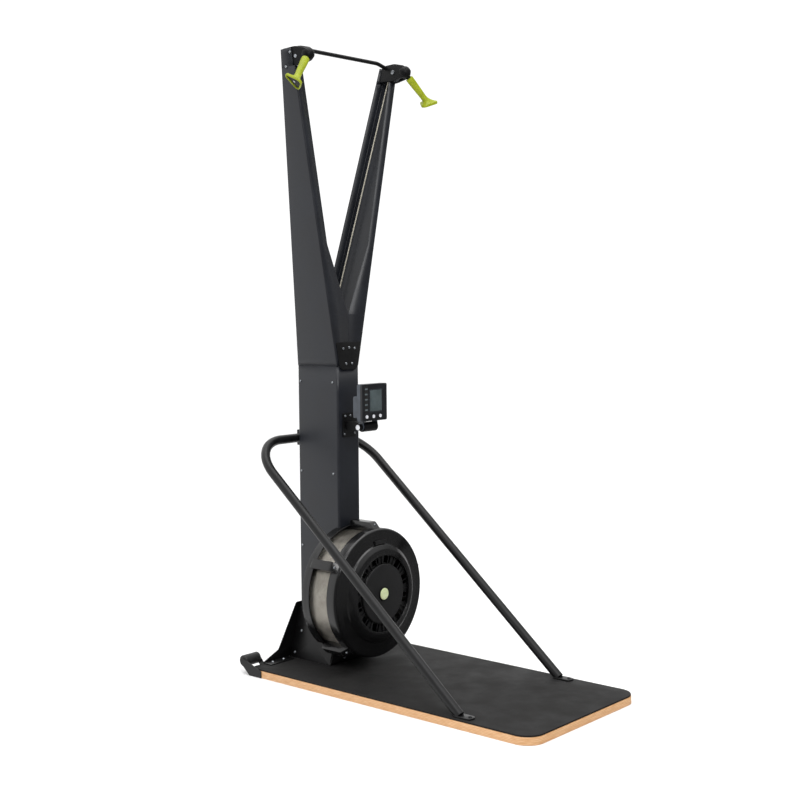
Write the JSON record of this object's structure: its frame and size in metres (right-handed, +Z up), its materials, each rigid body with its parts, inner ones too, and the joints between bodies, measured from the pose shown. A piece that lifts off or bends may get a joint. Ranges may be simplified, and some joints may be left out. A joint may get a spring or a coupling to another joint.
{
  "type": "ski trainer machine",
  "caption": "Free-standing ski trainer: floor board, column with spread arms, pull handles on cords, air fan, tilting monitor, bent brace tube and transport rollers.",
  "frame": {"origin": "on the floor under the middle of the column, on the board's underside", "axes": "+Z up; the user stands on the -Y side, facing +Y; +X to the user's right"},
  "size_m": [0.7252, 1.257, 2.157],
  "materials": {
    "plywood": "sanded and lacquered edge",
    "rubber_mat": "matt, finely textured",
    "black_paint": "satin powder coat",
    "panel_paint": "satin powder coat",
    "black_plastic": "fine moulded grain",
    "grey_plastic": "fine moulded grain",
    "lime_plastic": "satin",
    "pale_plastic": "satin",
    "rubber_stop": "matt",
    "rubber_wheel": "matt",
    "perforated_steel": "perforated sheet",
    "steel": "zinc plated",
    "cord": "braided",
    "display_glass": "display behind a clear window"
  },
  "bodies": {
    "frame": {"plywood_board": "plywood", "rubber_mat": "rubber_mat", "base_back_plate": "black_paint", "right_base_gusset": "black_paint", "left_base_gusset": "black_paint", "base_front_plate": "black_paint", "column_shell": "panel_paint", "column_back_cover": "black_paint", "right_arm": "panel_paint", "left_arm": "panel_paint", "arm_joint_block": "steel", "throat_plate": "black_paint", "crossbar": "black_paint", "right_pulley_axle": "steel", "left_pulley_axle": "steel", "right_pulley_housing": "black_plastic", "left_pulley_housing": "black_plastic", "right_drive_cord": "cord", "left_drive_cord": "cord", "fan_rear_shell": "black_plastic", "perforated_band": "perforated_steel", "fan_front_shell": "black_plastic", "intake_grille": "black_plastic", "hub_cover": "grey_plastic", "hub_cap": "pale_plastic", "front_bearing": "steel", "rear_bearing": "steel", "drive_bracket": "black_paint", "return_pulley_pin": "steel", "return_shock_cord": "cord", "monitor_bracket": "black_paint", "monitor_arm": "black_plastic", "brace_tube": "black_paint", "brace_saddle": "black_paint", "brace_strap": "black_paint", "right_roller_bracket": "black_paint", "left_roller_bracket": "black_paint"},
    "flywheel": {"flywheel": "steel", "flywheel_shaft": "steel"},
    "right_drum": {"right_cord_drum": "grey_plastic"},
    "left_drum": {"left_cord_drum": "grey_plastic"},
    "right_top_pulley": {"right_pulley": "grey_plastic"},
    "left_top_pulley": {"left_pulley": "grey_plastic"},
    "right_grip": {"right_handle": "lime_plastic", "right_cord_stop": "rubber_stop"},
    "left_grip": {"left_handle": "lime_plastic", "left_cord_stop": "rubber_stop"},
    "damper": {"damper_ring": "grey_plastic"},
    "monitor": {"monitor_case": "grey_plastic", "monitor_bezel": "black_plastic", "monitor_lens": "display_glass", "key_strip": "grey_plastic"},
    "button_1": {"menu_button_1": "pale_plastic"},
    "button_2": {"menu_button_2": "pale_plastic"},
    "button_3": {"menu_button_3": "pale_plastic"},
    "knob": {"tilt_knob": "black_plastic"},
    "idler": {"return_pulley": "grey_plastic"},
    "right_wheel": {"right_roller": "rubber_wheel"},
    "left_wheel": {"left_roller": "rubber_wheel"}
  },
  "joints": [
    {"name": "flywheel_spin", "type": "hinge", "parent": "frame", "child": "flywheel", "pos_m": [0, -0.144, 0.289], "axis": [0, 1, 0], "continuous": true},
    {"name": "right_pull", "type": "slide", "parent": "frame", "child": "right_grip", "axis": [0.6489, -0.225, -0.7269], "range_m": [0, 1.2], "stiffness_N_per_m": 8, "springref_m": -1.25},
    {"name": "left_pull", "type": "slide", "parent": "frame", "child": "left_grip", "axis": [-0.6489, -0.225, -0.7269], "range_m": [0, 1.2], "stiffness_N_per_m": 8, "springref_m": -1.25},
    {"name": "right_drum_turn", "type": "hinge", "parent": "frame", "child": "right_drum", "pos_m": [0, 0, 0.289], "axis": [0, 1, 0], "range_deg": [0, 2600]},
    {"name": "left_drum_turn", "type": "hinge", "parent": "frame", "child": "left_drum", "pos_m": [0, -0.055, 0.289], "axis": [0, 1, 0], "range_deg": [0, 2600]},
    {"name": "right_pulley_turn", "type": "hinge", "parent": "frame", "child": "right_top_pulley", "pos_m": [0.24421, -0.117, 2.117], "axis": [0.9807, 0, -0.1956], "range_deg": [0, 2600]},
    {"name": "left_pulley_turn", "type": "hinge", "parent": "frame", "child": "left_top_pulley", "pos_m": [-0.24421, -0.117, 2.117], "axis": [0.9807, 0, 0.1956], "range_deg": [0, 2600]},
    {"name": "damper_turn", "type": "hinge", "parent": "frame", "child": "damper", "pos_m": [0, -0.2446, 0.289], "axis": [0, 1, 0], "range_deg": [-12, 12]},
    {"name": "monitor_tilt", "type": "hinge", "parent": "frame", "child": "monitor", "pos_m": [0, -0.191, 0.87], "axis": [1, 0, 0], "range_deg": [-20, 20]},
    {"name": "button_1_press", "type": "slide", "parent": "monitor", "child": "button_1", "axis": [0, 1, 0], "range_m": [0, 0.002], "stiffness_N_per_m": 300, "springref_m": -0.002},
    {"name": "button_2_press", "type": "slide", "parent": "monitor", "child": "button_2", "axis": [0, 1, 0], "range_m": [0, 0.002], "stiffness_N_per_m": 300, "springref_m": -0.002},
    {"name": "button_3_press", "type": "slide", "parent": "monitor", "child": "button_3", "axis": [0, 1, 0], "range_m": [0, 0.002], "stiffness_N_per_m": 300, "springref_m": -0.002},
    {"name": "knob_turn", "type": "hinge", "parent": "frame", "child": "knob", "pos_m": [-0.046, -0.191, 0.87], "axis": [1, 0, 0], "continuous": true},
    {"name": "idler_turn", "type": "hinge", "parent": "frame", "child": "idler", "pos_m": [0, -0.0907, 1], "axis": [0, 1, 0], "continuous": true},
    {"name": "right_wheel_turn", "type": "hinge", "parent": "frame", "child": "right_wheel", "pos_m": [0.2657, 0.141, 0.045], "axis": [1, 0, 0], "continuous": true},
    {"name": "left_wheel_turn", "type": "hinge", "parent": "frame", "child": "left_wheel", "pos_m": [-0.2657, 0.141, 0.045], "axis": [1, 0, 0], "continuous": true}
  ],
  "couplings": [
    {"joint": "right_drum_turn", "follows": "right_pull", "rad_per_m": 36.5},
    {"joint": "right_pulley_turn", "follows": "right_pull", "rad_per_m": 35.7},
    {"joint": "left_drum_turn", "follows": "left_pull", "rad_per_m": 36.5},
    {"joint": "left_pulley_turn", "follows": "left_pull", "rad_per_m": 35.7}
  ]
}
